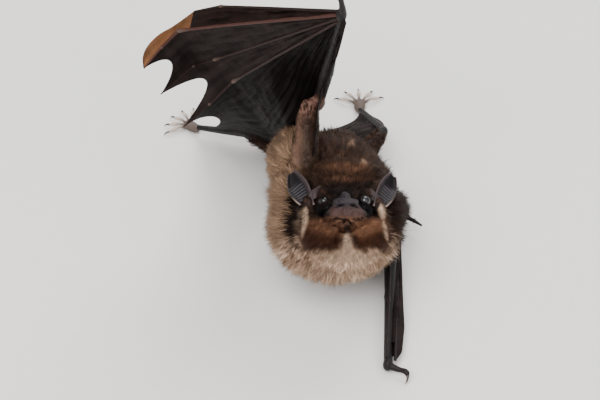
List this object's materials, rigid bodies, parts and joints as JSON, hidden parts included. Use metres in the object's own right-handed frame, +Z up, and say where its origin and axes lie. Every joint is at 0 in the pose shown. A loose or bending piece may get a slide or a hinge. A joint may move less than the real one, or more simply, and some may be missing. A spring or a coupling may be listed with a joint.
{
  "type": "small vesper house bat, life-size still model with one wing raised",
  "caption": "Life-size still model of a small brown house bat standing on its left wrist and both feet, head up, with the right wing half open and raised.",
  "frame": {"origin": "middle of the model's box at the level of its feet and left wrist", "axes": "+Z up, the bat faces -Y, its left side is +X"},
  "size_m": [0.0696, 0.1052, 0.0939],
  "materials": {
    "brown_fur": "short dark brown fur with lighter tips",
    "pale_fur": "longer pale buff fur of the throat, chest and flanks",
    "dark_skin": "thin blackish brown wing and tail skin, slightly satin",
    "face_skin": "bare greyish ear and muzzle skin",
    "eye": "glossy black"
  },
  "bodies": {
    "root": {"arm_web_right": "dark_skin", "belly": "brown_fur", "chest": "pale_fur", "digit_2_left": "dark_skin", "digit_2_right": "dark_skin", "digit_3_left": "dark_skin", "digit_3_right": "dark_skin", "digit_3_tip_left": "dark_skin", "digit_4_left": "dark_skin", "digit_4_right": "dark_skin", "digit_5_left": "dark_skin", "digit_5_right": "dark_skin", "ear_left": "face_skin", "ear_right": "face_skin", "eye_left": "eye", "eye_right": "eye", "foot_left": "dark_skin", "foot_right": "dark_skin", "fore_web_right": "dark_skin", "forearm_left": "dark_skin", "forearm_right": "dark_skin", "hand_web_2_3_right": "dark_skin", "hand_web_3_4_left": "dark_skin", "hand_web_3_4_right": "dark_skin", "hand_web_4_5_left": "dark_skin", "hand_web_4_5_right": "dark_skin", "head": "brown_fur", "jaw": "brown_fur", "rump": "brown_fur", "shin_left": "dark_skin", "shin_right": "dark_skin", "shoulders": "brown_fur", "tail": "dark_skin", "tail_web_left": "dark_skin", "tail_web_right": "dark_skin", "thigh_left": "brown_fur", "thigh_right": "brown_fur", "thumb_left": "dark_skin", "thumb_right": "dark_skin", "upper_arm_left": "brown_fur", "upper_arm_right": "brown_fur", "wing_tip_right": "face_skin", "wrist_left": "dark_skin", "wrist_right": "dark_skin"}
  },
  "joints": []
}
